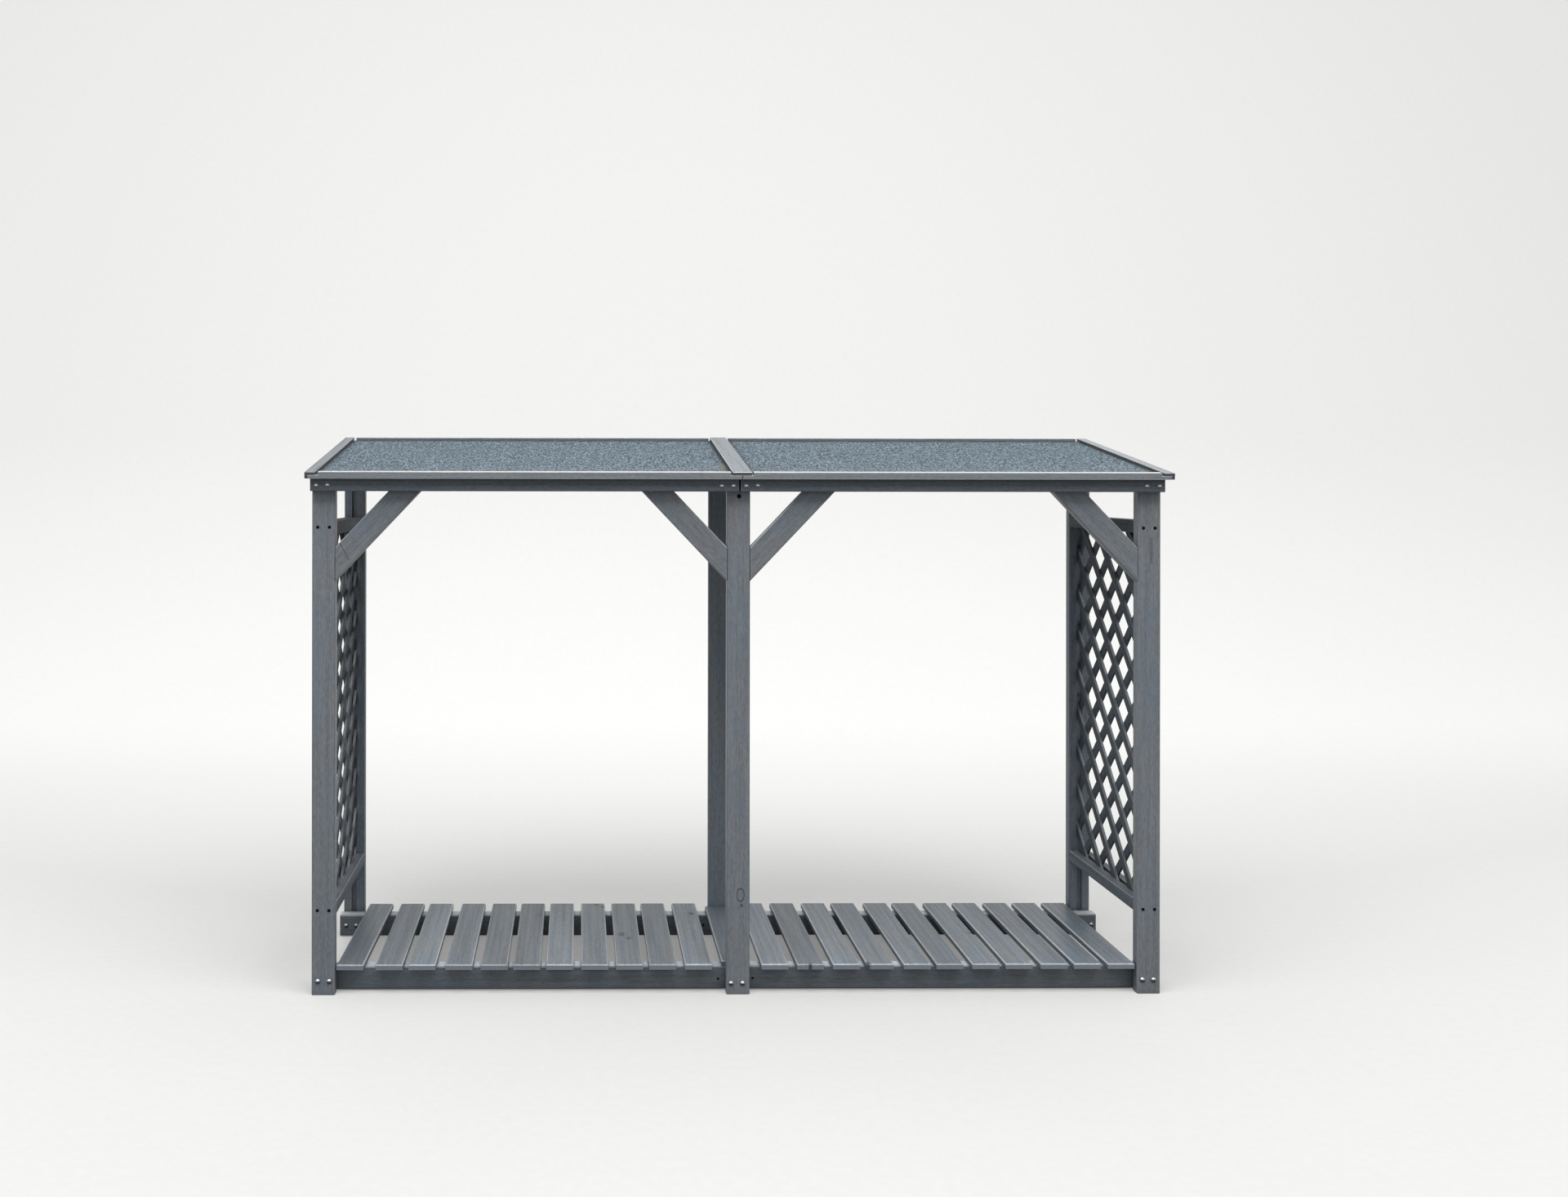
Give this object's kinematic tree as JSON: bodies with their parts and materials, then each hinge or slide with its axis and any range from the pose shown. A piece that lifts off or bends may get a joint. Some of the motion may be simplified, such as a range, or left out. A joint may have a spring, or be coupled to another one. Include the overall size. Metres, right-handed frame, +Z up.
{
  "type": "log store",
  "caption": "Open log store in dark glazed softwood, with a slatted floor, diagonal lattice end panels and a felted roof that falls to the front.",
  "frame": {"origin": "on the ground, below the middle of the whole store", "axes": "+X to the right seen from the front, along the store; +Y to the rear, towards the high side of the roof; +Z up"},
  "size_m": [2.2208, 0.6526, 1.4557],
  "materials": {
    "frame_timber": "blue-grey glazed sawn softwood, worn",
    "floor_timber": "blue-grey glazed softwood boards, worn",
    "lattice_timber": "blue-grey glazed thin slats",
    "roof_boards": "blue-grey glazed matchboard",
    "roof_felt": "mineral roofing felt, granular",
    "roof_trim": "blue-grey glazed sawn softwood"
  },
  "bodies": {
    "root": {"front_post_left": "frame_timber", "front_post_middle": "frame_timber", "front_post_right": "frame_timber", "rear_post_left": "frame_timber", "rear_post_middle": "frame_timber", "rear_post_right": "frame_timber", "front_beam_left": "frame_timber", "front_beam_right": "frame_timber", "rear_beam_left": "frame_timber", "rear_beam_right": "frame_timber", "brace_left_outer": "frame_timber", "brace_left_inner": "frame_timber", "brace_right_inner": "frame_timber", "brace_right_outer": "frame_timber", "front_floor_rail_left": "frame_timber", "front_floor_rail_right": "frame_timber", "rear_floor_rail_left": "frame_timber", "rear_floor_rail_right": "frame_timber", "left_panel_top_rail": "frame_timber", "left_panel_bottom_rail": "frame_timber", "right_panel_top_rail": "frame_timber", "right_panel_bottom_rail": "frame_timber", "floor_slats_left": "floor_timber", "floor_slats_right": "floor_timber", "floor_slat_middle": "floor_timber", "left_lattice": "lattice_timber", "right_lattice": "lattice_timber", "roof_deck_left": "roof_boards", "roof_deck_right": "roof_boards", "roof_felt_left": "roof_felt", "roof_felt_right": "roof_felt", "front_edge_strip_left": "roof_trim", "front_edge_strip_right": "roof_trim", "rear_edge_strip_left": "roof_trim", "rear_edge_strip_right": "roof_trim", "side_edge_strip_left": "roof_trim", "side_edge_strip_right": "roof_trim", "side_trim_left": "roof_trim", "side_trim_right": "roof_trim", "roof_batten": "roof_trim"}
  },
  "joints": []
}
